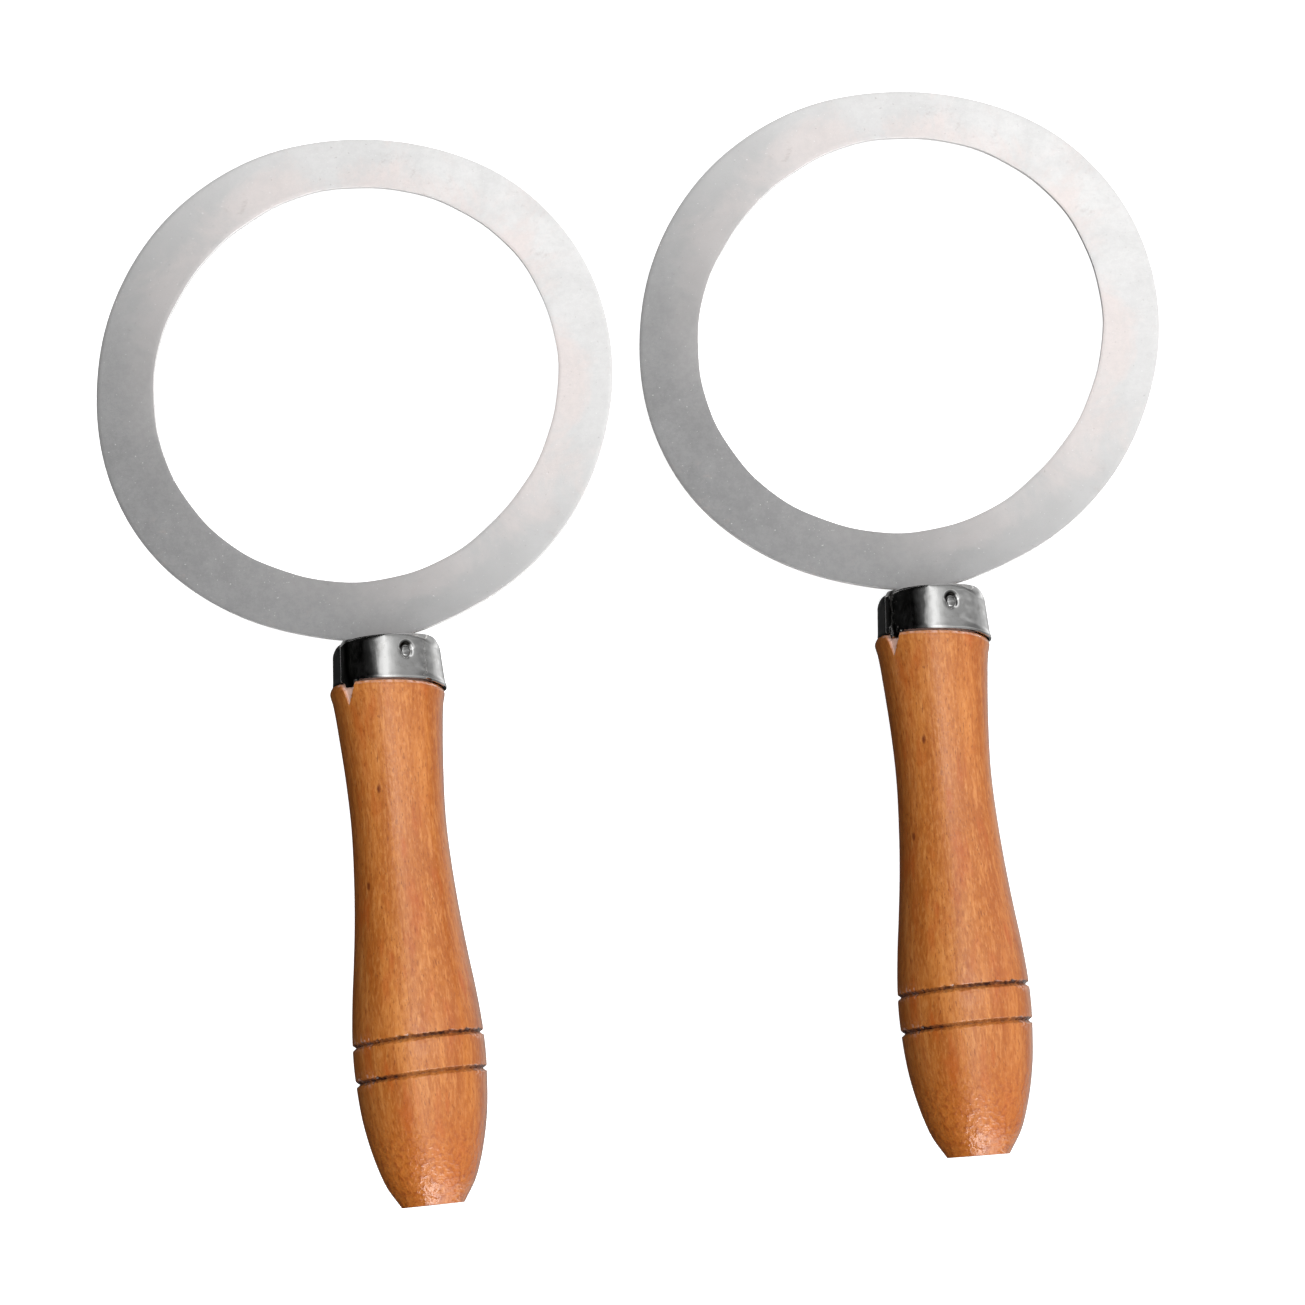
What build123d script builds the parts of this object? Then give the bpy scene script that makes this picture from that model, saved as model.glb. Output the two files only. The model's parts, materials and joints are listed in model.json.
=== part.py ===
from build123d import *
import os
from math import atan, atan2, cos, degrees, hypot, radians, sin, sqrt

# A pair of ring-shaped hand cymbals with turned wooden handles, lying side by side on a
# flat surface.  Row frame: +X to the right, +Y towards the rings, +Z up.  The origin is
# on the surface, under the middle of the pair.  All sizes are in millimetres.
#
# Each cymbal is made in its own cymbal frame: origin at the ring's centre, +y along the
# handle towards the far edge of the ring, +z square to the ring, +x to the right.

# ---- ring plate: a flat sheet-metal ring with a tang that runs into the handle ----
ring_radius = 56.8
hole_radius = 44.3
hole_offset = (0.5, 0.35)        # the hole is cut slightly off the ring's centre
plate_thickness = 1.2
plate_edge_break = 0.2
ring_gap = 1.1                   # between the ferrule's top and the edge of the ring
tang_width = 10.0
tang_root = 1.0                  # how far the tang's sides run into the ring
tang_reach = 43.0                # tang length below the ferrule's mouth
tang_point = 6.0                 # length of the tapered tip
tang_tip_width = 4.0

# ---- handle: turned wood, measured down its axis from the shoulder under the ferrule ----
handle_offset = 0.9              # the handle's axis sits this far right of the ring's centre
handle_length = 109.7            # shoulder to flat butt
shoulder_radius = 12.4
lip_height = 3.0                 # short flare between the shoulder and the grip
lip_foot_radius = 11.95
waist_depth = 31.0
waist_radius = 10.15
bulge_depth = 79.5
bulge_radius = 13.95
bulge_arc_radius = 123.0         # long crown of the bulge on the ring's side
butt_bend_depth = 98.0           # where the tail starts to close more sharply
butt_bend_radius = 11.75
butt_radius = 6.6
groove_depths = (75.8, 83.5)     # two V grooves, one each side of the bulge's crest
groove_width = 1.5
groove_cut = 0.9

# ---- ferrule: a rolled sheet-metal cap with a lap seam ----
ferrule_height = 10.4
ferrule_foot_radius = 12.05
ferrule_neck_radius = 11.6
ferrule_neck_height = 7.4        # the wall is a plain taper up to here, then it rolls in
ferrule_crown_radius = 9.7
ferrule_mouth_radius = 7.0
ferrule_sheet = 0.6
seam_angle = -55.0               # around the handle, from the ring's normal towards +x
seam_step = 0.25                 # the under-layer beside the seam sits this much lower
seam_step_arc = 15.0

# ---- nail: holds the ferrule, the handle and the tang together ----
nail_angle = 22.0
nail_height = 6.2                # above the ferrule's foot
nail_length = 17.0
nail_radius = 0.8
nail_point_length = 2.4
nail_point_radius = 0.15
nail_head_radius = 1.3
nail_head_rise = 0.55
nail_head_rim = 0.15
dimple_floor_radius = 1.4
dimple_rim_radius = 2.2
dimple_depth = 0.32

fit_gap = 0.05                   # running clearance round the tang and under the ferrule
nail_gap = 0.02
cut_margin = 2.0                 # how far a cutting shape runs past what it cuts

# ---- the pair as it lies ----
handle_roll = 5.0                # each handle is turned this far, nail towards the middle
cymbal_spacing = 117.6           # between the ring centres, measured at the handle shoulders
toe_out = 0.9                    # each cymbal is turned this many degrees away from the other

# Distances along the cymbal frame's y axis.
shoulder_y = -(ferrule_height + ring_gap + ring_radius)
mouth_y = shoulder_y + ferrule_height
butt_y = shoulder_y - handle_length
tang_end_y = mouth_y - tang_reach

# The ring end is the heavier one, so each cymbal rests on the far edge of its ring and on
# the wooden shoulder behind the ferrule, with the butt in the air.
rest_run = ring_radius - shoulder_y
pitch = atan2(shoulder_radius - plate_thickness / 2, rest_run)
ring_centre_z = ring_radius * sin(pitch) + plate_thickness / 2 * cos(pitch)


def cymbal_directions(side):
    """Unit vectors of a cymbal's own x, y and z axes; side is -1 for left, 1 for right."""
    turn = -side * radians(toe_out)
    x_dir = Vector(cos(turn), sin(turn), 0)
    y_dir = Vector(-sin(turn) * cos(pitch), cos(turn) * cos(pitch), -sin(pitch))
    return x_dir, y_dir, x_dir.cross(y_dir)


def cymbal_plane(side):
    """The cymbal frame of one cymbal, placed so that the pair is centred on the origin."""
    x_dir, y_dir, z_dir = cymbal_directions(side)
    far_edge = ring_radius * hypot(x_dir.Y, y_dir.Y) + plate_thickness / 2 * z_dir.Y
    butt_corner = butt_y * y_dir.Y + handle_offset * x_dir.Y - butt_radius * sqrt(1 - y_dir.Y**2)
    centre_x = side * (cymbal_spacing / 2 - shoulder_y * sin(radians(toe_out)))
    origin = Vector(centre_x, -(far_edge + butt_corner) / 2, ring_centre_z)
    return Plane(origin=origin, x_dir=x_dir, z_dir=z_dir)


def radial_plane(side, angle):
    """Plane through the handle's axis, with its origin at the shoulder: x is the radius at an
    angle around the handle, from the ring's normal towards +x, and y runs up the axis."""
    cymbal = cymbal_plane(side)
    turn = radians(angle)
    outward = cymbal.x_dir * sin(turn) + cymbal.z_dir * cos(turn)
    origin = cymbal.from_local_coords(Vector(handle_offset, shoulder_y, 0))
    return Plane(origin=origin, x_dir=outward, z_dir=outward.cross(cymbal.y_dir))


def handle_axis(side):
    """The turning axis of the handle, pointing towards the ring."""
    plane = radial_plane(side, 0)
    return Axis(plane.origin, plane.y_dir)


def ferrule_radius_at(height):
    """Outer radius of the ferrule's plain taper at a height above its foot."""
    share = height / ferrule_neck_height
    return ferrule_foot_radius + (ferrule_neck_radius - ferrule_foot_radius) * share


def nail_plane(side):
    """Plane at the floor of the dimple, with z pointing out along the nail."""
    radial = radial_plane(side, nail_angle - side * handle_roll)
    radius = ferrule_radius_at(nail_height) - dimple_depth
    origin = radial.from_local_coords(Vector(radius, nail_height, 0))
    return Plane(origin=origin, x_dir=radial.y_dir, z_dir=radial.x_dir)


def ferrule_edge(inset):
    """Side outline of the ferrule's outer face, moved in by inset: foot to crown."""
    neck = (ferrule_neck_radius - inset, ferrule_neck_height)
    wall = Line((ferrule_foot_radius - inset, 0), neck)
    crown_end = (ferrule_crown_radius - inset / 2, ferrule_height - inset)
    TangentArc(neck, crown_end, tangent=wall % 1)
    return crown_end


def make_ring(side, name):
    """Flat ring with its tang in one piece, drilled for the nail."""
    plane = cymbal_plane(side)
    tang_top_y = tang_root - ring_radius
    tang_straight_end = tang_end_y + tang_point
    with BuildPart() as ring:
        with BuildSketch(plane):
            Circle(ring_radius)
            with BuildLine():
                Polyline(
                    (handle_offset - tang_width / 2, tang_top_y),
                    (handle_offset - tang_width / 2, tang_straight_end),
                    (handle_offset - tang_tip_width / 2, tang_end_y),
                    (handle_offset + tang_tip_width / 2, tang_end_y),
                    (handle_offset + tang_width / 2, tang_straight_end),
                    (handle_offset + tang_width / 2, tang_top_y),
                    close=True,
                )
            make_face()
            with Locations(hole_offset):
                Circle(hole_radius, mode=Mode.SUBTRACT)
        extrude(amount=plate_thickness / 2, both=True)
        rim_edges = ring.edges().filter_by(GeomType.CIRCLE)
        fillet(rim_edges, plate_edge_break)
        with BuildSketch(nail_plane(side)):
            Circle(nail_radius + nail_gap)
        extrude(amount=-nail_length, mode=Mode.SUBTRACT)
    ring.part.label = name
    export_step(ring.part, f"parts/{name}.step")


def make_handle(side, name):
    """Turned handle: spigot for the ferrule, grip, two V grooves, slot for the tang."""
    plane = radial_plane(side, 90)
    slot_floor = -(tang_reach - ferrule_height) - fit_gap
    with BuildPart() as handle:
        with BuildSketch(plane):
            with BuildLine():
                spigot_inset = ferrule_sheet + fit_gap
                spigot_end = ferrule_edge(spigot_inset)
                Line(spigot_end, (0, spigot_end[1]))
                Line((0, spigot_end[1]), (0, -handle_length))
                Line((0, -handle_length), (butt_radius, -handle_length))
                bend = (butt_bend_radius, -butt_bend_depth)
                crest = (bulge_radius, -bulge_depth)
                waist = (waist_radius, -waist_depth)
                crown_turn, waist_arc_radius = bulge_to_waist()
                inflection = (
                    bulge_radius - bulge_arc_radius * (1 - cos(crown_turn)),
                    -bulge_depth + bulge_arc_radius * sin(crown_turn),
                )
                tail = TangentArc(crest, bend, tangent=(0, -1))
                TangentArc(bend, (butt_radius, -handle_length), tangent=tail % 1)
                TangentArc(crest, inflection, tangent=(0, 1))
                TangentArc(waist, inflection, tangent=(0, -1))
                grip = TangentArc(waist, (lip_foot_radius, -lip_height), tangent=(0, 1))
                lip_top = (shoulder_radius, 0)
                Spline(grip @ 1, lip_top, tangents=[grip % 1, (0, 1)])
                Line(lip_top, (ferrule_foot_radius - spigot_inset, 0))
            make_face()
        revolve(axis=handle_axis(side))
        for depth in groove_depths:
            with BuildSketch(plane):
                with BuildLine():
                    Polyline(
                        (bulge_radius - groove_cut, -depth),
                        (bulge_radius + groove_cut, -depth + groove_width),
                        (bulge_radius + groove_cut, -depth - groove_width),
                        close=True,
                    )
                make_face()
            revolve(axis=handle_axis(side), mode=Mode.SUBTRACT)
        with BuildSketch(plane):
            slot_top = ferrule_height + cut_margin
            with Locations((0, (slot_top + slot_floor) / 2)):
                Rectangle(tang_width + 2 * fit_gap, slot_top - slot_floor)
        extrude(amount=plate_thickness / 2 + fit_gap, both=True, mode=Mode.SUBTRACT)
        with BuildSketch(nail_plane(side)):
            Circle(nail_radius + nail_gap)
        extrude(amount=-(nail_length + nail_gap), mode=Mode.SUBTRACT)
    handle.part.label = name
    export_step(handle.part, f"parts/{name}.step")


def bulge_to_waist():
    """Turn and waist radius of two tangent arcs that join the bulge's crest to the waist."""
    run = bulge_depth - waist_depth
    rise = bulge_radius - waist_radius
    turn = 2 * atan(rise / run)
    return turn, run / sin(turn) - bulge_arc_radius


def make_ferrule(side, name):
    """Cap rolled from thin sheet: tapered wall, rounded crown, open mouth, lap seam."""
    axis = handle_axis(side)
    seam = seam_angle - side * handle_roll
    with BuildPart() as ferrule:
        with BuildSketch(radial_plane(side, seam)):
            with BuildLine():
                outer = ferrule_edge(0)
                inner = ferrule_edge(ferrule_sheet)
                Line(outer, (ferrule_mouth_radius, outer[1]))
                Line((ferrule_mouth_radius, outer[1]), (ferrule_mouth_radius, inner[1]))
                Line((ferrule_mouth_radius, inner[1]), inner)
                Line((ferrule_foot_radius - ferrule_sheet, 0), (ferrule_foot_radius, 0))
            make_face()
        revolve(axis=axis)
        with BuildSketch(radial_plane(side, seam - seam_step_arc)):
            with BuildLine():
                step_edge = ferrule_edge(seam_step)
                Line(step_edge, (ferrule_foot_radius + cut_margin, step_edge[1]))
                Line(
                    (ferrule_foot_radius + cut_margin, step_edge[1]),
                    (ferrule_foot_radius + cut_margin, 0),
                )
                Line((ferrule_foot_radius + cut_margin, 0), (ferrule_foot_radius - seam_step, 0))
            make_face()
        revolve(axis=axis, revolution_arc=seam_step_arc, mode=Mode.SUBTRACT)
        with BuildSketch(nail_plane(side)):
            Circle(dimple_floor_radius)
        flare = degrees(atan((dimple_rim_radius - dimple_floor_radius) / dimple_depth))
        extrude(amount=dimple_depth * 2, taper=-flare, mode=Mode.SUBTRACT)
        with BuildSketch(nail_plane(side)):
            Circle(nail_radius + nail_gap)
        extrude(amount=-cut_margin, mode=Mode.SUBTRACT)
    ferrule.part.label = name
    export_step(ferrule.part, f"parts/{name}.step")


def make_nail(side, name):
    """Round nail with a low domed head, driven in square to the ferrule."""
    plane = nail_plane(side)
    side_plane = Plane(origin=plane.origin, x_dir=plane.x_dir, z_dir=-plane.y_dir)
    with BuildPart() as nail:
        with BuildSketch(side_plane):
            with BuildLine():
                Line((0, -nail_length), (nail_point_radius, -nail_length))
                Line(
                    (nail_point_radius, -nail_length),
                    (nail_radius, -nail_length + nail_point_length),
                )
                Line((nail_radius, -nail_length + nail_point_length), (nail_radius, 0))
                Line((nail_radius, 0), (nail_head_radius, 0))
                Line((nail_head_radius, 0), (nail_head_radius, nail_head_rim))
                TangentArc((0, nail_head_rise), (nail_head_radius, nail_head_rim), tangent=(1, 0))
                Line((0, nail_head_rise), (0, -nail_length))
            make_face()
        revolve(axis=Axis(plane.origin, plane.z_dir))
    nail.part.label = name
    export_step(nail.part, f"parts/{name}.step")


os.makedirs("parts", exist_ok=True)
for side_sign, side_name in ((-1, "left"), (1, "right")):
    make_ring(side_sign, f"{side_name}_ring")
    make_handle(side_sign, f"{side_name}_handle")
    make_ferrule(side_sign, f"{side_name}_ferrule")
    make_nail(side_sign, f"{side_name}_nail")
print("The handles slope by", round(degrees(pitch), 3), "degrees")
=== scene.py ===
import json
from math import cos, pi, radians, sin

import bpy
import numpy as np
from mathutils import Matrix, Vector, noise


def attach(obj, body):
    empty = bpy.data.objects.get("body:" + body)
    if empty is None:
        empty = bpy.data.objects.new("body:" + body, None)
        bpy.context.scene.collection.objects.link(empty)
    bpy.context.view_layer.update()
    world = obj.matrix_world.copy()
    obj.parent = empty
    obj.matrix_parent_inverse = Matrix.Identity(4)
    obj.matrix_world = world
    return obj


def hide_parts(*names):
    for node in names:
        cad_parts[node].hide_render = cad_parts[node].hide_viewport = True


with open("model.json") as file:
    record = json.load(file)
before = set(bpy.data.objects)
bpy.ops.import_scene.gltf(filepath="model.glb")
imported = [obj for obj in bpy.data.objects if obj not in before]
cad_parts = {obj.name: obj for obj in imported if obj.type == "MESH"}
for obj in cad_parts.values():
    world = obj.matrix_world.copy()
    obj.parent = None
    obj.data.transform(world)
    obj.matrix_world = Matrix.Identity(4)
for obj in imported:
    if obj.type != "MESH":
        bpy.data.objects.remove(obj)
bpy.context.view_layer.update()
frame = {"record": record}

# A pair of ring-shaped hand cymbals.  Sizes of pieces are in millimetres in each cymbal's own
# handle frame: origin on the handle's axis at the wooden shoulder, +x to the right, +y up
# the axis towards the ring, +z square to the ring.  handle_matrix() turns them into metres.
MM = 0.001
SIDES = ("left", "right")

HANDLE_LENGTH = 109.7
RING_CENTRE = (-0.9, 68.3)
RING_RADIUS = 56.8
HOLE_RADIUS = 44.3
HOLE_OFFSET = (0.5, 0.35)
PLATE = 1.2
# How far each ring is out of round.
OVAL = {"left": 0.55, "right": 1.1}
FERRULE_HEIGHT = 9.6
FERRULE_FOOT = 11.75  # radius at the foot
FERRULE_NECK = (11.3, 6.9)  # radius and height of the point that sets the wall's taper
FERRULE_MOUTH = 7.0  # radius of the opening
FERRULE_ARC = 11.8  # millimetres of wall to a radian
FERRULE_SHEET = 0.45
FERRULE_LAP = radians(24)
FERRULE_SHIFT = 0.75  # sideways, off the handle's axis
FERRULE_LIFT = 0.25
NAIL_ANGLE = radians(22.5)
NAIL_HEIGHT = 6.0
NAIL_HEAD_RADIUS = 1.2
NAIL_RADIUS = 0.8
NAIL_LENGTH = 17.0
TANG_HALF_WIDTH = 5
TANG_REACH = 44  # from the top of the ferrule
SEAM_ANGLE = radians(-55.0)
CHIP_ANGLE = radians(-42.0)
ROLL = {"left": radians(5.0), "right": radians(-5.0)}
# Small dark knots on the upper side: x and y of each.
KNOTS = ((-3.3, -22.9), (-7.2, -42.8))

# Turned outline of the handle: depth below the shoulder, radius.
GRIP_OUTLINE = (
    (0.0, 11.75),
    (0.5, 12.05),
    (1.1, 12.27),
    (1.9, 12.18),
    (2.9, 11.92),
    (4.8, 11.64),
    (9.2, 11.22),
    (17.8, 10.58),
    (30.0, 10.15),
    (41.4, 10.6),
    (50.0, 11.28),
    (58.4, 12.18),
    (66.8, 13.2),
    (73.5, 13.78),
    (79.5, 13.95),
    (85.0, 13.69),
    (90.9, 13.12),
    (97.0, 11.95),
    (101.2, 10.8),
    (105.3, 9.27),
    (HANDLE_LENGTH, 6.6),
)
GROOVE_DEPTHS = (75.4, 83.0)
GROOVE_HALF_WIDTH = 0.72
GROOVE_CUT = 0.85


def mount(name):
    """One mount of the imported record."""
    return next(m for m in frame["record"]["mounts"] if m["name"] == name)


def handle_matrix(side):
    """Handle frame of one cymbal, as a matrix from its millimetres to the scene's metres."""
    butt = mount(f"{side}_handle_butt")
    y_dir = -Vector(butt["axis"]).normalized()
    z_dir = Vector(mount(f"{side}_ring_hole")["axis"]).normalized()
    x_dir = y_dir.cross(z_dir).normalized()
    z_dir = x_dir.cross(y_dir)
    origin = Vector(butt["pos_m"]) + y_dir * (HANDLE_LENGTH * MM)
    turn = Matrix((x_dir, y_dir, z_dir)).transposed().to_4x4()
    return Matrix.Translation(origin) @ turn @ Matrix.Scale(MM, 4)


def rolled_matrix(side):
    """The handle frame turned about the handle's axis, as the handle lies: nail inwards."""
    return handle_matrix(side) @ Matrix.Rotation(ROLL[side], 4, "Y")


def smooth_step(low, high, value):
    """0 below low, 1 above high, a smooth ramp between."""
    t = np.clip((np.asarray(value, float) - low) / (high - low), 0, 1)
    return t * t * (3 - 2 * t)


def smooth_outline(points, at):
    """Radius at each depth, on a smooth curve through the outline's points."""
    xs, ys = np.array(points).T
    slopes = np.gradient(ys, xs)
    i = np.clip(np.searchsorted(xs, at) - 1, 0, len(xs) - 2)
    span = xs[i + 1] - xs[i]
    t = (at - xs[i]) / span
    return (
        (1 + 2 * t) * (1 - t) ** 2 * ys[i]
        + t * (1 - t) ** 2 * span * slopes[i]
        + t * t * (3 - 2 * t) * ys[i + 1]
        + t * t * (t - 1) * span * slopes[i + 1]
    )


def noise_field(points, scale, seed):
    """Smooth noise, about -1 to 1, at each row of points; scale is per axis, per mm."""
    shift = Vector((seed * 17.3, seed * 5.1, seed * 9.7))
    scaled = (points * np.asarray(scale, float)).reshape(-1, 3)
    values = np.array([noise.noise(Vector(p) + shift) for p in scaled])
    return values.reshape(points.shape[:-1])


def grid_faces(rows, columns, wrap):
    """Quads of a rows x columns grid of vertices; wrap joins the last column to the first."""
    faces = []
    last = columns if wrap else columns - 1
    for r in range(rows - 1):
        for c in range(last):
            n = (c + 1) % columns
            here, above = r * columns, (r + 1) * columns
            faces.append((here + c, here + n, above + n, above + c))
    return faces


def add_piece(name, matrix, points, faces, material, node, thickness=0, bevel=0, sharp=40):
    """A shown piece made from a mesh in millimetres, standing for one CAD node."""
    mesh = bpy.data.meshes.new(name)
    mesh.from_pydata([tuple(p) for p in points], [], faces)
    mesh.validate()
    piece = bpy.data.objects.new(name, mesh)
    bpy.context.collection.objects.link(piece)
    if thickness:
        shell = piece.modifiers.new("sheet", "SOLIDIFY")
        shell.thickness = thickness
        shell.offset = 0 if bevel else -1
        shell.use_even_offset = True
    if bevel:
        edge = piece.modifiers.new("edge", "BEVEL")
        edge.width = bevel
        edge.segments = 2
        edge.limit_method = "ANGLE"
        edge.angle_limit = radians(50)
    if thickness or bevel:
        piece.data = bpy.data.meshes.new_from_object(
            piece.evaluated_get(bpy.context.evaluated_depsgraph_get())
        )
        piece.modifiers.clear()
    piece.data.transform(matrix)
    piece.data.polygons.foreach_set("use_smooth", [True] * len(piece.data.polygons))
    piece.data.set_sharp_from_angle(angle=radians(sharp))
    piece.data.materials.clear()
    piece.data.materials.append(material)
    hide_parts(node)
    return piece


def store(piece, name, values):
    """A number for each vertex, for the material to read."""
    layer = piece.data.attributes.new(name, "FLOAT", "POINT")
    layer.data.foreach_set("value", np.asarray(values, np.float32).ravel())


# ---- the pieces ----


def shoulder_tilt(x, depth):
    """The shoulder and the ferrule's foot are a little crooked: lower on the right."""
    return 0.077 * x * (1 - smooth_step(0, 14, depth))


def sway(depth):
    """How far right of the axis the handle's middle line is; a little more at the shoulder."""
    return 0.25 + 0.08 * (1 - smooth_step(0, 40, depth))


def make_handle(side, material):
    """Turned handle with ragged V grooves, a chip at the ferrule's seam and lathe marks."""
    columns = 256
    # Columns of vertices are closest together round the chip, rows at the chip and the grooves.
    share = np.linspace(0, 1, columns, endpoint=False)
    from_chip = np.interp(share, (0, 0.375, 0.625, 1), (-180, -8, 8, 180))
    angle = CHIP_ANGLE + np.radians(from_chip)
    depth = np.concatenate(
        [
            np.arange(0.0, 4.2, 0.12),
            np.arange(4.2, 6.0, 0.3),
            np.arange(6.0, 74.0, 0.6),
            np.arange(74.0, 85.6, 0.11),
            np.arange(85.6, HANDLE_LENGTH, 0.3),
            [HANDLE_LENGTH],
        ]
    )
    d, a = np.meshgrid(depth, angle, indexing="ij")
    radius = smooth_outline(GRIP_OUTLINE, d)
    spot = np.stack([radius * np.sin(a), d, radius * np.cos(a)], axis=-1)
    wander = noise_field(spot, (0.12, 0.05, 0.12), 1)
    ragged = noise_field(spot, (1.1, 0.0, 1.1), 2)
    crumbs = noise_field(spot, (1.6, 1.6, 1.6), 3)
    radius = radius + 0.06 * wander + 0.05 * np.sin(2 * a + 0.6)
    turn = np.degrees(np.angle(np.exp(1j * a)))
    # How dark each groove is, by the angle round the handle.
    groove_darkness = (
        0.7 + 0.3 * smooth_step(-25, 15, turn),
        1 - 0.5 * smooth_step(-34, -14, turn) + 0.5 * smooth_step(44, 60, turn),
    )
    groove, burn_and_shade = np.zeros_like(radius), np.zeros_like(radius)
    for number, middle in enumerate(GROOVE_DEPTHS):
        line = middle + 0.1 * ragged * (1 if number else -1) - 0.03 * spot[..., 0]
        half = GROOVE_HALF_WIDTH * (1 + 0.2 * ragged + 0.35 * crumbs)
        cut = np.clip(1 - np.abs(d - line) / half, 0, 1)
        # Painted shade: each groove's upper wall is painted darker than its lower wall, on top of
        # the groove's dark burn.
        shaded = 0.35 + 0.65 * smooth_step(0.25, -0.05, (d - line) / half)
        groove = np.maximum(groove, cut)
        burnt_and_shaded = smooth_step(0.03, 0.4, cut) * shaded * groove_darkness[number] * (1 + 0.7 * crumbs)
        burn_and_shade = np.maximum(burn_and_shade, burnt_and_shaded)
    near_groove = sum(np.exp(-(((d - middle) / 1.1) ** 2)) for middle in GROOVE_DEPTHS)
    chipping = near_groove * np.clip(crumbs - 0.25, 0, 1) * 0.5
    radius = radius - GROOVE_CUT * groove - chipping
    turned = smooth_step(94, 104, d)
    radius = radius + turned * (0.012 * np.sin(d * 2 * pi / 0.8) + 0.03 * crumbs)
    # The chip is a wedge that narrows downwards, between two slanting lines.
    down = d / 4.7 + 0.12 * crumbs
    left_of = spot[..., 0] - (-9.8 + 1.5 * down)
    right_of = (-6.6 - 1.7 * down) - spot[..., 0]
    chip = smooth_step(0, 0.25, np.minimum(left_of, right_of)) * (spot[..., 2] > 0)
    radius = radius - 0.8 * chip * (1 - 0.5 * np.clip(down, 0, 1))
    points = np.stack(
        [radius * np.sin(a) + sway(d), -d - shoulder_tilt(spot[..., 0], d), radius * np.cos(a)],
        axis=-1,
    )
    rows = [points.reshape(-1, 3)]
    # The wood inside the ferrule: radius, height above the shoulder.
    spigot = ((10.1, 0.0), (9.9, 3.5), (9.5, 6.3), (8.9, 7.5), (8.0, 8.2), (4.5, 8.2), (0.02, 8.2))
    for r, h in spigot:
        x = r * np.sin(angle)
        rows.insert(0, np.stack([x + sway(0), h - shoulder_tilt(x, 0), r * np.cos(angle)], -1))
    butt_rings = (0.985, 0.8, 0.55, 0.3, 0.002)
    for shrink in butt_rings:
        rim = points[-1] * np.array([shrink, 1, shrink])
        rim[:, 0] += sway(HANDLE_LENGTH) * (1 - shrink)
        rim[:, 1] -= 0.05 if shrink > 0.9 else 0.0
        rows.append(rim)
    grid = np.concatenate(rows)
    count = len(grid) // columns
    piece = add_piece(
        f"{side}_turned_handle", rolled_matrix(side), grid, grid_faces(count, columns, True),
        material, f"{side}_handle", sharp=50,
    )
    top = np.zeros(len(spigot) * columns)
    bottom = np.zeros(len(butt_rings) * columns)
    store(piece, "groove", np.concatenate([top, np.clip(burn_and_shade, 0, 1).ravel(), bottom]))
    # Raw wood: the chip, the ends of the grooves as seen from above, a line at the shoulder.
    ends = np.maximum(smooth_step(-42, -52, turn), 0.7 * smooth_step(52, 60, turn))
    ends = ends * (np.abs(turn) < 80)
    pale = smooth_step(0.1, 0.25, chipping) * 0.35
    pale = pale + smooth_step(0.05, 0.3, crumbs) * near_groove * ends
    shoulder = smooth_step(0.75, 0.35, d) * np.clip(0.5 + 1.2 * crumbs, 0, 1) * (np.abs(turn) < 60)
    raw = np.clip(np.maximum(chip, pale + 0.7 * shoulder), 0, 1)
    store(piece, "raw", np.concatenate([top + 1, raw.ravel(), bottom + 0.55]))
    return piece


def cap_outline(bend, roll, top):
    """Side view of the cap, from foot to lip, as radius and height: a slightly tapering wall,
    a bend through roll degrees and a tight fold into the flat top."""
    fold = 0.35
    neck_radius, neck_height = FERRULE_NECK
    taper = (FERRULE_FOOT - neck_radius) / neck_height
    rise = bend * sin(radians(roll)) + fold * (1 - sin(radians(roll)))
    outline = [(FERRULE_FOOT - taper * h, h) for h in np.linspace(0, top - rise, 70)]
    for size, low, high, steps in ((bend, 0, roll, 24), (fold, roll, 88, 10)):
        start = outline[-1]
        for t in np.radians(np.linspace(low, high, steps)[1:]):
            inward = size * (cos(radians(low)) - cos(t))
            outline.append((start[0] - inward, start[1] + size * (sin(t) - sin(radians(low)))))
    lip_radius, lip_height = outline[-1]
    lip = [(r, lip_height) for r in np.linspace(lip_radius - 0.25, FERRULE_MOUTH, 8)]
    return np.array(outline + lip)


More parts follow.
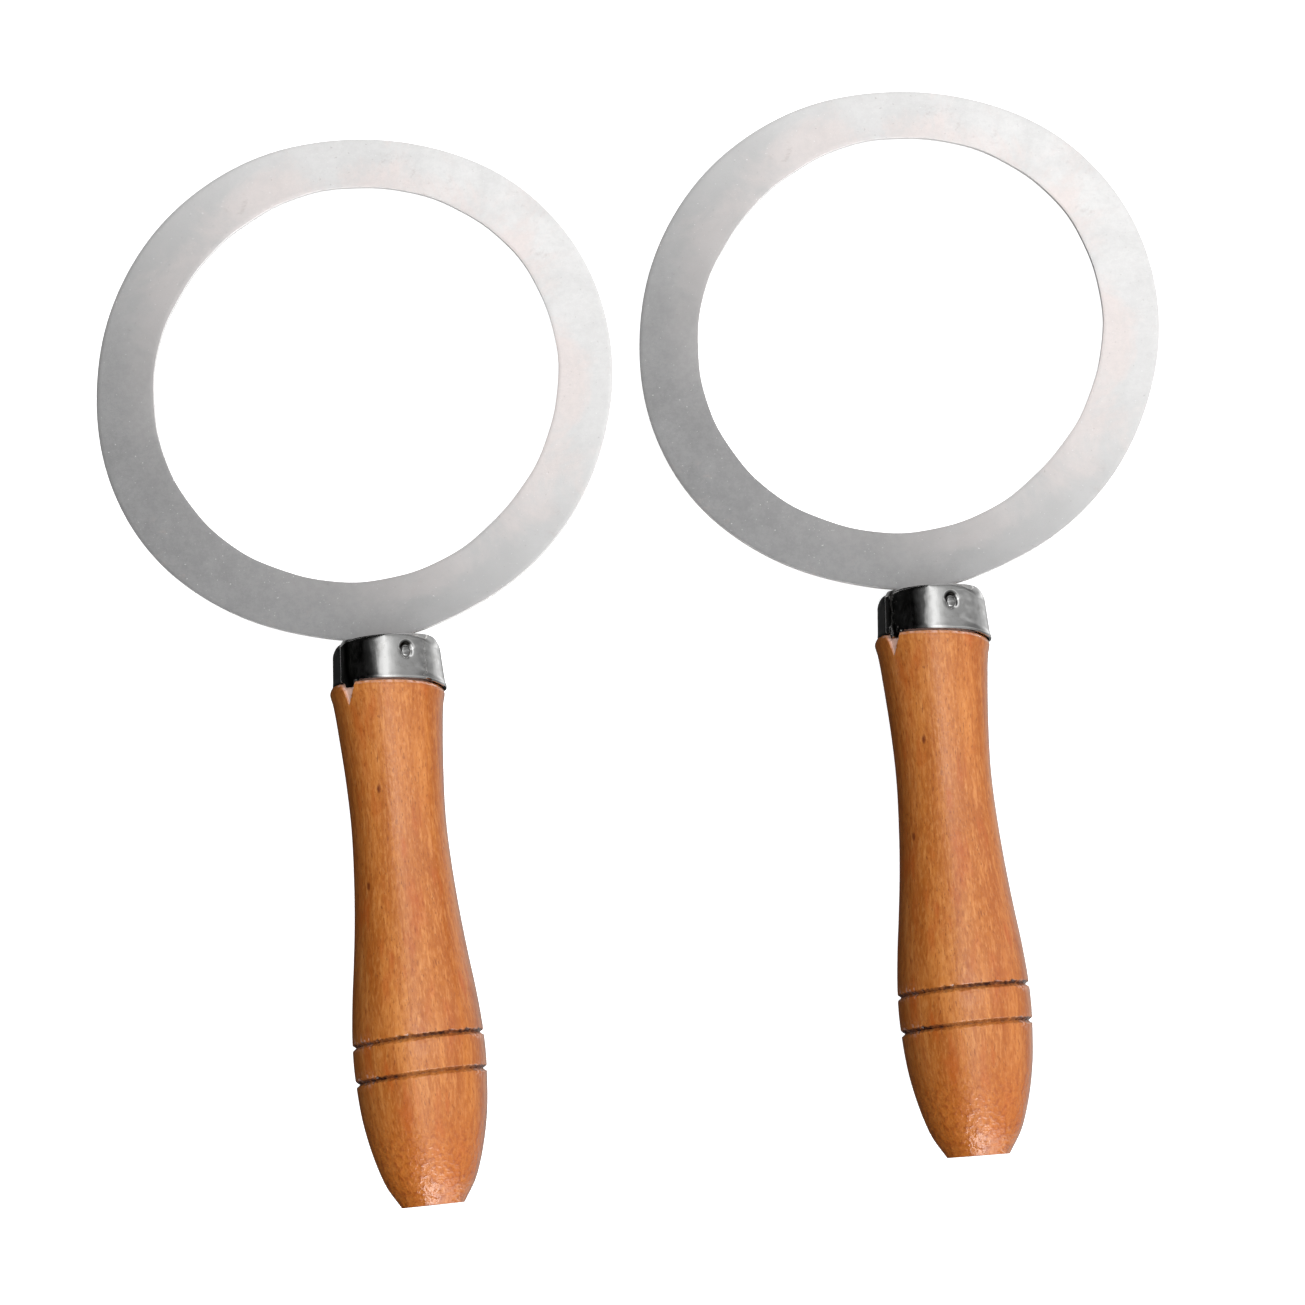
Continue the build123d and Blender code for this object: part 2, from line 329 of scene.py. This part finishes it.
def make_ferrule(side, material):
    """Cap rolled from thin sheet; its outer end laps over its inner end at the seam."""
    travel = np.linspace(0, 2 * pi + FERRULE_LAP, 440)
    rounded = cap_outline(4.0, 40, FERRULE_HEIGHT)
    square = cap_outline(1.2, 50, FERRULE_HEIGHT - 0.2)
    t, row = np.meshgrid(travel, np.arange(len(rounded)), indexing="xy")
    angle = SEAM_ANGLE + t
    front = smooth_step(radians(-66), radians(-44), angle)
    front = front * smooth_step(radians(62), radians(38), angle)
    radius = rounded[row, 0] * (1 - front) + square[row, 0] * front
    height = rounded[row, 1] * (1 - front) + square[row, 1] * front
    under = smooth_step(radians(290), radians(352), t)
    radius = radius - under * (FERRULE_SHEET + 0.05)
    height = height - under * 0.35 * smooth_step(3, 9, height)
    spot = np.stack([radius * np.sin(angle), height, radius * np.cos(angle)], axis=-1)
    radius = radius + 0.03 * noise_field(spot, (0.2, 0.15, 0.2), 4)
    # The foot flares, most on the right, and its very edge curls in.
    right = smooth_step(radians(40), radians(80), angle) * (angle < radians(150))
    flare = 0.1 + 0.14 * front * smooth_step(radians(-28), radians(-12), angle) + 0.18 * right
    radius = radius + flare * np.exp(-((height / 0.8) ** 2))
    radius = radius - 0.14 * np.exp(-((height / 0.26) ** 2))
    # The dimple round the nail.
    across = (angle - NAIL_ANGLE) * 11.5
    reach = np.hypot(across * 1.2, height - NAIL_HEIGHT)
    radius = radius - 0.55 * (1 - smooth_step(1.3, 2.4, reach))
    # A tooth of sheet bent down into the chip.
    beside = np.abs((angle - CHIP_ANGLE) * FERRULE_ARC + 0.15)
    tooth = smooth_step(1.4, 0.75, beside) * np.exp(-((height / 1.1) ** 2))
    x = radius * np.sin(angle)
    drop = shoulder_tilt(x, 0) * (1 - 0.85 * height / FERRULE_HEIGHT) + 1.5 * tooth
    drop = drop + (0.32 * right - 0.2 * front) * np.exp(-((height / 3.5) ** 2))
    z = radius * np.cos(angle)
    points = np.stack([x + FERRULE_SHIFT, height - drop + FERRULE_LIFT, z], axis=-1)
    faces = [f[::-1] for f in grid_faces(len(rounded), len(travel), False)]
    piece = add_piece(
        f"{side}_rolled_ferrule", rolled_matrix(side), points.reshape(-1, 3), faces,
        material, f"{side}_ferrule", thickness=FERRULE_SHEET, sharp=50,
    )
    # Worn along the sheet's outer edge. Painted dark reflections round the nail and along the
    # joint.
    worn = 0.6 * np.exp(-((t * FERRULE_ARC / 0.18) ** 2)).ravel()
    store(piece, "worn", np.resize(worn, len(piece.data.vertices)))
    # Painted dark reflection round the nail's dimple, strongest above the nail.
    above = np.clip((height - NAIL_HEIGHT - 0.3 * across) / 1.2, 0, 1)
    grime_and_dark_reflection = smooth_step(1.0, 1.25, reach)
    grime_and_dark_reflection = grime_and_dark_reflection * smooth_step(1.65 + 0.85 * above, 1.35 + 0.7 * above, reach)
    grime_and_dark_reflection = grime_and_dark_reflection * (0.65 + 0.35 * above) * (front > 0)
    # Painted dark reflection along the joint, wider at the foot by the tooth.
    low = np.exp(-((height / 1.2) ** 2))
    joint = 0.97 * np.exp(-(((np.degrees(angle) + 45 - 6 * low) / (5 + 4 * low)) ** 2))
    grime_and_dark_reflection = np.maximum(grime_and_dark_reflection, joint).ravel()
    store(piece, "grime_and_dark_reflection", np.resize(grime_and_dark_reflection, len(piece.data.vertices)))
    return piece


def make_nail(side, material):
    """Nail with a low domed head that sits in the ferrule's dimple."""
    outline = [(0.001, -NAIL_LENGTH), (0.15, -NAIL_LENGTH), (NAIL_RADIUS, -NAIL_LENGTH + 2.4)]
    outline += [(NAIL_RADIUS, -0.02), (NAIL_HEAD_RADIUS, 0.0)]
    for t in np.linspace(0, pi / 2 - 0.01, 12):
        outline.append((NAIL_HEAD_RADIUS * cos(t) ** 0.8, 0.12 + 0.6 * sin(t)))
    columns = 48
    turn = np.linspace(0, 2 * pi, columns, endpoint=False)
    out = Vector((sin(NAIL_ANGLE), 0, cos(NAIL_ANGLE)))
    across = Vector((cos(NAIL_ANGLE), 0, -sin(NAIL_ANGLE)))
    wall, dimple = 11.35, 0.5
    seat = wall - dimple
    points = []
    for r, h in outline:
        for t in turn:
            dent = 0.03 * noise.noise(Vector((r * cos(t) * 1.3, r * sin(t) * 1.3, 4.0)))
            p = out * (seat + h + dent) + across * (r * cos(t))
            points.append((p.x + FERRULE_SHIFT, NAIL_HEIGHT + r * sin(t), p.z))
    faces = [f[::-1] for f in grid_faces(len(outline), columns, True)]
    return add_piece(
        f"{side}_nail_head", rolled_matrix(side), points, faces,
        material, f"{side}_nail", sharp=35,
    )


def make_ring(side, material):
    """Flat hand-cut ring and its tang, from one sheet that isn't quite flat."""
    columns, rows = 540, 15
    theta = np.linspace(0, 2 * pi, columns, endpoint=False)
    centre = np.array(RING_CENTRE)
    # Outside and hole are each a circle with a few waves; the outside swells by the tang.
    outer = RING_RADIUS - 0.1 + OVAL[side] * np.cos(2 * theta - 0.97)
    outer += 0.14 * np.cos(3 * theta - 0.5) + 0.38 * np.cos(4 * theta + 3.84)
    outer += 0.06 * np.cos(7 * theta) + 0.03 * np.cos(13 * theta + 1)
    outer += 1.25 * np.exp(-(((np.degrees(theta) - 272.5) / 15.5) ** 2))
    inner = HOLE_RADIUS + 0.2 + 1.15 * OVAL[side] * np.cos(2 * theta - 1.64)
    inner += 0.09 * np.cos(3 * theta - 1.8) + 0.12 * np.cos(4 * theta - 0.87)
    inner += 0.09 * np.cos(6 * theta + 2) + 0.07 * np.cos(11 * theta) + 0.04 * np.cos(23 * theta)
    unit = np.stack([np.cos(theta), np.sin(theta)], axis=-1)
    rim = centre + unit * outer[:, None]
    bore = centre + np.array(HOLE_OFFSET) + unit * inner[:, None]
    share = np.linspace(0, 1, rows)[:, None, None]
    flat = (bore * (1 - share) + rim * share).reshape(-1, 2)
    faces = grid_faces(rows, columns, True)
    below_centre = rim[:, 1] < RING_CENTRE[1]
    root = [i for i in range(columns) if abs(rim[i, 0]) < TANG_HALF_WIDTH and below_centre[i]]
    tang_rows = 14
    base = (rows - 1) * columns
    extra = []
    for r in range(1, tang_rows + 1):
        drop = r / tang_rows
        for i in root:
            x = rim[i, 0] * (1 - 0.55 * smooth_step(0.86, 1, drop))
            extra.append((x, rim[i, 1] * (1 - drop) + (FERRULE_HEIGHT - TANG_REACH) * drop))
    start = len(flat)
    for r in range(tang_rows):
        for k in range(len(root) - 1):
            below = start + r * len(root) + k
            above = below - len(root)
            top = (base + root[k], base + root[k + 1]) if r == 0 else (above, above + 1)
            faces.append((*top, below + 1, below))
    flat = np.concatenate([flat, extra])
    points = np.column_stack([flat, np.zeros(len(flat))])
    swing = noise_field(points, (0.022, 0.022, 0.022), 6) * 0.28
    swing += noise_field(points, (0.07, 0.07, 0.07), 7) * 0.05
    points[:, 2] = swing * smooth_step(12, 30, points[:, 1])
    return add_piece(
        f"{side}_ring_plate", handle_matrix(side), points, faces,
        material, f"{side}_ring", thickness=PLATE, bevel=0.1, sharp=45,
    )


# ---- materials ----


class Shader:
    """A small helper that adds nodes to one material and wires them up."""

    def __init__(self, name, matrix):
        self.material = bpy.data.materials.new(name)
        self.material.use_nodes = True
        self.nodes = self.material.node_tree.nodes
        self.links = self.material.node_tree.links
        self.surface = self.nodes["Principled BSDF"]
        self.place = self.local_millimetres(matrix)

    def add(self, kind, inputs=None, **settings):
        """A node with its settings, and with values or sockets put into its inputs."""
        node = self.nodes.new(kind)
        for key, value in settings.items():
            setattr(node, key, value)
        for key, value in (inputs or {}).items():
            self.put(node.inputs[key], value)
        return node

    def put(self, socket, value):
        """Links a socket, or sets a constant."""
        if isinstance(value, bpy.types.NodeSocket):
            self.links.new(value, socket)
        else:
            socket.default_value = value

    def local_millimetres(self, matrix):
        """The coordinates in millimetres of the frame that matrix places."""
        where = self.add("ShaderNodeTexCoord").outputs["Object"]
        back = matrix.inverted()
        rotation = back.to_quaternion().to_euler("XYZ")
        inputs = {"Vector": where, "Location": back.translation, "Rotation": rotation}
        inputs["Scale"] = (1 / MM,) * 3
        return self.add("ShaderNodeMapping", inputs).outputs[0]

    def stretch(self, x, y, z):
        """The local coordinates, scaled along each axis."""
        inputs = {0: self.place, 1: (x, y, z)}
        return self.add("ShaderNodeVectorMath", inputs, operation="MULTIPLY").outputs[0]

    def noise(self, scale, detail=4, roughness=0.5, distortion=0, stretch=(1, 1, 1)):
        return self.add(
            "ShaderNodeTexNoise",
            {
                "Vector": self.stretch(*stretch),
                "Scale": scale,
                "Detail": detail,
                "Roughness": roughness,
                "Distortion": distortion,
            },
        ).outputs["Fac"]

    def ramp(self, value, low, high, to_low=0.0, to_high=1.0):
        """Value from low..high to to_low..to_high, clamped and smooth."""
        return self.add(
            "ShaderNodeMapRange",
            {"Value": value, 1: low, 2: high, 3: to_low, 4: to_high},
            interpolation_type="SMOOTHSTEP",
        ).outputs[0]

    def mix(self, factor, one, two, blend="MIX"):
        node = self.add("ShaderNodeMix", data_type="RGBA", blend_type=blend)
        for index, value in ((0, factor), (6, one), (7, two)):
            self.put(node.inputs[index], (*value, 1) if isinstance(value, tuple) else value)
        return node.outputs[2]

    def mix_value(self, factor, one, two):
        """Number one to number two by factor."""
        node = self.add("ShaderNodeMix", data_type="FLOAT")
        for index, value in ((0, factor), (2, one), (3, two)):
            self.put(node.inputs[index], value)
        return node.outputs[0]

    def math(self, operation, one, two=None):
        inputs = {0: one} if two is None else {0: one, 1: two}
        return self.add("ShaderNodeMath", inputs, operation=operation).outputs[0]

    def distance(self, x, y):
        """How far x across and y along is."""
        squares = self.math("ADD", self.math("POWER", x, 2), self.math("POWER", y, 2))
        return self.math("SQRT", squares)

    def attribute(self, name):
        return self.add("ShaderNodeAttribute", attribute_name=name).outputs["Fac"]

    def bump(self, height, distance, strength=1.0, normal=None):
        """A bump whose distance is in millimetres."""
        inputs = {"Height": height, "Distance": distance * MM, "Strength": strength}
        if normal is not None:
            inputs["Normal"] = normal
        return self.add("ShaderNodeBump", inputs).outputs[0]

    def axis(self, index):
        """One of the local coordinates."""
        return self.add("ShaderNodeSeparateXYZ", {0: self.place}).outputs[index]


def wood_material(side):
    """Varnished orange-brown turned wood: soft streaks, short dark pores, dark grooves, painted
    shade down both sides.
    """
    s = Shader(f"varnished_wood_{side}", rolled_matrix(side))
    x, y, z = (s.axis(i) for i in range(3))
    tone = s.noise(0.16, 3, 0.55, 0.4, (1, 0.1, 1))
    colour = s.mix(s.ramp(tone, 0.32, 0.68), (0.385, 0.112, 0.014), (0.54, 0.195, 0.042))
    streak = s.noise(0.8, 4, 0.6, 0.3, (1, 0.05, 1))
    colour = s.mix(s.ramp(streak, 0.38, 0.7, 0.0, 0.6), colour, (0.32, 0.078, 0.008))
    light_streak = s.noise(1.2, 3, 0.6, 0.2, (1, 0.09, 1))
    colour = s.mix(s.ramp(light_streak, 0.52, 0.76, 0.0, 0.5), colour, (0.66, 0.28, 0.08))
    short = s.noise(1.9, 2, 0.55, 0.3, (1, 0.3, 1))
    colour = s.mix(s.ramp(short, 0.5, 0.72, 0.0, 0.4), colour, (0.28, 0.064, 0.007))
    colour = s.mix(s.ramp(short, 0.5, 0.3, 0.0, 0.25), colour, (0.70, 0.32, 0.11))
    pore = s.ramp(s.noise(3.2, 2, 0.5, 0.0, (1, 0.22, 1)), 0.60, 0.71, 0.0, 0.6)
    colour = s.mix(pore, colour, (0.18, 0.04, 0.006))
    red = s.ramp(s.noise(0.28, 2, 0.5, 0.0, (1, 0.25, 1)), 0.55, 0.75, 0.0, 0.5)
    colour = s.mix(red, colour, (0.42, 0.075, 0.006))
    mottle = s.ramp(s.noise(0.9, 4, 0.6), 0.45, 0.68, 0.0, 0.6)
    near_butt = s.ramp(y, -86.0, -102.0)
    colour = s.mix(s.math("MULTIPLY", near_butt, 0.5), colour, (0.50, 0.135, 0.014))
    colour = s.mix(s.math("MULTIPLY", mottle, near_butt), colour, (0.27, 0.05, 0.006))
    for knot_x, knot_y in KNOTS:
        off_x = s.math("MULTIPLY", s.math("SUBTRACT", x, knot_x), 2.2)
        off_y = s.math("MULTIPLY", s.math("SUBTRACT", y, knot_y), 0.85)
        reach = s.math("ADD", s.distance(off_x, off_y), s.math("MULTIPLY", short, 0.8))
        spot = s.ramp(reach, 0.7, 1.5, 0.85, 0.0)
        spot = s.math("MULTIPLY", spot, s.math("GREATER_THAN", z, 0))
        colour = s.mix(spot, colour, (0.13, 0.02, 0.003))
    # Painted shade: the handle's left side is painted darker, a little less towards the butt, and
    # its right side darker and redder.
    left = s.math("MULTIPLY", x, s.ramp(y, -45.0, -80.0, 1.0, 0.78))
    colour = s.mix(s.ramp(left, -3.5, -13.5, 0.0, 0.3), colour, (0.20, 0.042, 0.002))
    colour = s.mix(s.ramp(x, 4.0, 12.5, 0.0, 0.3), colour, (0.36, 0.09, 0.03))
    colour = s.mix(s.attribute("raw"), colour, (0.68, 0.44, 0.36))
    # The stored groove mask: dark burn, with painted shade on each groove's upper wall.
    groove = s.attribute("groove")
    burn_and_shade = s.math("MULTIPLY", groove, s.ramp(s.noise(0.5, 3), 0.3, 0.6, 0.75, 1.0))
    colour = s.mix(burn_and_shade, colour, (0.03, 0.004, 0.002))
    s.put(s.surface.inputs["Base Color"], colour)
    rough = s.ramp(s.noise(0.5, 4), 0.3, 0.7, 0.34, 0.48)
    s.put(s.surface.inputs["Roughness"], s.mix_value(groove, rough, 0.75))
    normal = s.bump(s.noise(2.4, 3, 0.6, 0.0, (1, 0.09, 1)), 0.04)
    peel = s.noise(0.9, 3, 0.5)
    normal = s.bump(s.math("MULTIPLY", peel, s.ramp(near_butt, 0, 1, 0.25, 1.2)), 0.25, 1.0, normal)
    s.put(s.surface.inputs["Normal"], normal)
    s.put(s.surface.inputs["Coat Normal"], normal)
    s.surface.inputs["Coat Weight"].default_value = 0.85
    s.surface.inputs["Coat IOR"].default_value = 1.65
    s.put(s.surface.inputs["Coat Roughness"], s.ramp(near_butt, 0, 1, 0.14, 0.05))
    s.surface.inputs["Specular IOR Level"].default_value = 0.3
    return s.material


def ring_material(side):
    """Dull grey sheet with a painted light gradient, paler towards one side; blotched, speckled,
    with painted glints, and faintly lined.
    """
    s = Shader(f"ring_steel_{side}", handle_matrix(side))
    # Painted light: the sheet's colour runs from dark on one side to pale on the other, as if lit
    # from there.
    lean = s.math("ADD", s.math("MULTIPLY", s.axis(0), 0.79), s.math("MULTIPLY", s.axis(1), 0.61))
    painted_light_gradient = s.ramp(lean, -17.0, 99.0)
    colour = s.mix(painted_light_gradient, (0.255, 0.255, 0.257), (0.82, 0.815, 0.81))
    cloud = s.noise(0.07, 5, 0.6, 0.8)
    colour = s.mix(s.ramp(cloud, 0.35, 0.7, 0.0, 0.16), colour, (0.45, 0.45, 0.45))
    # Pinkish blotches, more towards the hole, strongest where the painted light gradient is pale.
    off_x = s.math("SUBTRACT", s.axis(0), RING_CENTRE[0])
    off_y = s.math("SUBTRACT", s.axis(1), RING_CENTRE[1])
    inward = s.ramp(s.distance(off_x, off_y), 54.5, 47.0, -0.08, 0.1)
    pink_tint = s.ramp(s.math("ADD", s.noise(0.045, 6, 0.7, 0.6), inward), 0.42, 0.64, 0.0, 0.55)
    colour = s.mix(s.math("MULTIPLY", pink_tint, painted_light_gradient), colour, (0.85, 0.73, 0.70))
    fine = s.noise(0.8, 5, 0.75)
    colour = s.mix(s.ramp(fine, 0.38, 0.62, 0.0, 0.13), colour, (0.5, 0.49, 0.49))
    grime_and_dark_reflection = s.ramp(s.noise(0.35, 5, 0.7), 0.56, 0.72, 0.0, 0.3)
    patch = s.ramp(s.noise(0.05, 2), 0.5, 0.62)
    colour = s.mix(s.math("MULTIPLY", grime_and_dark_reflection, patch), colour, (0.42, 0.36, 0.34))
    speck = s.ramp(s.noise(1.3, 3, 0.6), 0.66, 0.76, 0.0, 0.35)
    colour = s.mix(speck, colour, (0.25, 0.22, 0.21))
    glint = s.ramp(s.noise(1.9, 2, 0.5), 0.30, 0.24, 0.0, 0.5)
    colour = s.mix(glint, colour, (0.95, 0.95, 0.95))
    # Painted light: the cut edges are painted paler than the flat faces, lifting the shade on them.
    facing = s.add("ShaderNodeTexCoord").outputs["Normal"]
    square = (handle_matrix(side).to_3x3() @ Vector((0, 0, 1))).normalized()
    upright = s.add("ShaderNodeVectorMath", {0: facing, 1: square}, operation="DOT_PRODUCT")
    wall = s.ramp(s.math("ABSOLUTE", upright.outputs["Value"]), 0.95, 0.6)
    colour = s.mix(s.math("MULTIPLY", wall, 0.8), colour, (0.92, 0.91, 0.90))
    s.put(s.surface.inputs["Base Color"], colour)
    s.put(s.surface.inputs["Metallic"], s.ramp(wall, 0, 1, 0.5, 0.0))
    s.put(s.surface.inputs["Roughness"], s.ramp(s.noise(0.12, 4), 0.3, 0.7, 0.40, 0.52))
    rolled = s.noise(1.2, 3, 0.6, 0.0, (0.12, 1, 1))
    normal = s.bump(rolled, 0.03)
    normal = s.bump(s.noise(3.5, 3, 0.6), 0.03, 1.0, normal)
    s.put(s.surface.inputs["Normal"], normal)
    return s.material


def plated_material(name, side, base, rough):
    """Bright plated metal with faint rolling marks, dull stains and the stored painted dark
    reflections.
    """
    s = Shader(f"{name}_{side}", rolled_matrix(side))
    stain = s.ramp(s.noise(0.5, 4, 0.6), 0.5, 0.75, 0.0, 0.35)
    colour = s.mix(stain, (base, base, base * 0.99), (base * 0.6, base * 0.58, base * 0.55))
    # Painted dark reflections, from the stored mask.
    colour = s.mix(s.attribute("grime_and_dark_reflection"), colour, (0.012, 0.011, 0.010))
    s.put(s.surface.inputs["Base Color"], colour)
    worn = s.attribute("worn")
    s.put(s.surface.inputs["Metallic"], s.ramp(worn, 0.0, 1.0, 1.0, 0.5))
    polish = s.ramp(s.noise(0.9, 4), 0.35, 0.7, rough, rough + 0.08)
    s.put(s.surface.inputs["Roughness"], s.mix_value(worn, polish, 0.5))
    marks = s.noise(2.2, 3, 0.6, 0.0, (1, 0.12, 1))
    normal = s.bump(marks, 0.006)
    normal = s.bump(s.noise(0.35, 1), 0.1, 1.0, normal)
    s.put(s.surface.inputs["Normal"], normal)
    return s.material


for side in SIDES:
    handle = make_handle(side, wood_material(side))
    ring = make_ring(side, ring_material(side))
    ferrule = make_ferrule(side, plated_material("ferrule_metal", side, 0.80, 0.05))
    nail = make_nail(side, plated_material("nail_steel", side, 0.45, 0.12))
    for piece in (handle, ring, ferrule, nail):
        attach(piece, f"{side}_cymbal")


# ---- floor, light and camera ----


def make_floor():
    """Plain pale floor, bright enough to stay white round the object, out of reflections."""
    half = 6.0
    mesh = bpy.data.meshes.new("floor")
    corners = [(-half, -half, 0), (half, -half, 0), (half, half, 0), (-half, half, 0)]
    mesh.from_pydata(corners, [], [(0, 1, 2, 3)])
    floor = bpy.data.objects.new("floor", mesh)
    floor.location.z = -0.0001
    material = bpy.data.materials.new("floor_white")
    material.use_nodes = True
    surface = material.node_tree.nodes["Principled BSDF"]
    surface.inputs["Base Color"].default_value = (0.86, 0.86, 0.86, 1)
    surface.inputs["Roughness"].default_value = 0.9
    surface.inputs["Specular IOR Level"].default_value = 0.0
    surface.inputs["Emission Color"].default_value = (1, 1, 1, 1)
    surface.inputs["Emission Strength"].default_value = 0.7
    mesh.materials.append(material)
    bpy.context.collection.objects.link(floor)
    floor.visible_glossy = False
    floor.visible_diffuse = False


def levels(nodes, links, value, low, high, stops):
    """Brightness for a value, straight lines between the stops; low to high is its range."""
    share = nodes.new("ShaderNodeMapRange")
    share.inputs[1].default_value = low
    share.inputs[2].default_value = high
    links.new(value, share.inputs[0])
    ramp = nodes.new("ShaderNodeValToRGB")
    while len(ramp.color_ramp.elements) < len(stops):
        ramp.color_ramp.elements.new(0.5)
    for element, (at, level) in zip(ramp.color_ramp.elements, stops):
        element.position = (at - low) / (high - low)
        element.color = (level, level, level, 1)
    links.new(share.outputs[0], ramp.inputs[0])
    return ramp.outputs[0]


def make_world():
    """A studio that is black on the left and grey on the right, with a narrow soft box
    overhead.  Mirrors see it as it is, matt surfaces a smoother and brighter version, and
    the camera sees white.  Each list of stops gives brightness by the angle round the y
    axis, in degrees from overhead, or by how far a ray points along y."""
    world = bpy.data.worlds.new("studio")
    bpy.context.scene.world = world
    world.use_nodes = True
    nodes, links = world.node_tree.nodes, world.node_tree.links
    where = nodes.new("ShaderNodeTexCoord")
    split = nodes.new("ShaderNodeSeparateXYZ")
    links.new(where.outputs["Generated"], split.inputs[0])
    turn = nodes.new("ShaderNodeMath")
    turn.operation = "ARCTAN2"
    links.new(split.outputs["X"], turn.inputs[0])
    links.new(split.outputs["Z"], turn.inputs[1])
    mirrored = (
        (-180, 0.03),
        (-150, 0.01),
        (-45, 0.0),
        (-30, 0.025),
        (-18, 0.12),
        (-7, 0.8),
        (0, 1.05),
        (6, 1.05),
        (17, 0.66),
        (29, 0.46),
        (41, 0.36),
        (67, 0.33),
        (81, 0.26),
        (97, 0.17),
        (116, 0.2),
        (144, 0.5),
        (165, 0.4),
        (180, 0.03),
    )
    matt = (
        (-180, 0.15),
        (-120, 0.03),
        (-90, 0.03),
        (-50, 0.15),
        (-15, 1.48),
        (40, 1.87),
        (90, 0.78),
        (180, 0.3),
    )
    mirrored_along = (
        (-1, 0.2),
        (-0.94, 3),
        (-0.86, 9),
        (-0.76, 7),
        (-0.58, 1),
        (0.1, 1),
        (0.2, 2.2),
        (0.32, 1),
        (1, 1),
    )
    matt_along = ((-1, 1.15), (-0.55, 1.15), (-0.32, 1), (1, 1))
    path = nodes.new("ShaderNodeLightPath")
    colour = (1.0, 1.0, 1.0, 1.0)
    for ray, over, along in (
        ("Is Glossy Ray", mirrored, mirrored_along),
        ("Is Diffuse Ray", matt, matt_along),
    ):
        round_y = [(radians(at), level) for at, level in over]
        lit = nodes.new("ShaderNodeVectorMath")
        lit.operation = "MULTIPLY"
        links.new(levels(nodes, links, turn.outputs[0], -pi, pi, round_y), lit.inputs[0])
        links.new(levels(nodes, links, split.outputs["Y"], -1, 1, along), lit.inputs[1])
        choose = nodes.new("ShaderNodeMix")
        choose.data_type = "RGBA"
        links.new(path.outputs[ray], choose.inputs[0])
        if isinstance(colour, tuple):
            choose.inputs[6].default_value = colour
        else:
            links.new(colour, choose.inputs[6])
        links.new(lit.outputs[0], choose.inputs[7])
        colour = choose.outputs[2]
    links.new(colour, nodes["Background"].inputs["Color"])


def make_key():
    """One big soft lamp, up, to the right and beyond the rings."""
    light = bpy.data.lights.new("key", "AREA")
    light.shape = "SQUARE"
    light.size = 0.75
    light.energy = 6.6
    lamp = bpy.data.objects.new("key", light)
    lamp.location = (0.82, 0.37, 1.19)
    lamp.rotation_euler = (Vector((0, 0, 0)) - lamp.location).to_track_quat("-Z", "Y").to_euler()
    lamp.visible_camera = False
    lamp.visible_glossy = False
    bpy.context.collection.objects.link(lamp)


def make_camera():
    """The viewing angle: nearly straight down, from the handles' side, rolled a little."""
    data = bpy.data.cameras.new("view")
    data.sensor_width = 36.0
    data.lens = 82.76
    camera = bpy.data.objects.new("view", data)
    camera.location = Vector((0, -59.1, 655.5)) * MM
    camera.rotation_mode = "ZYX"
    camera.rotation_euler = (radians(4.837), 0, radians(-5.181))
    bpy.context.collection.objects.link(camera)
    bpy.context.scene.camera = camera


make_floor()
make_world()
make_key()
make_camera()
bpy.context.scene.view_settings.view_transform = "Standard"
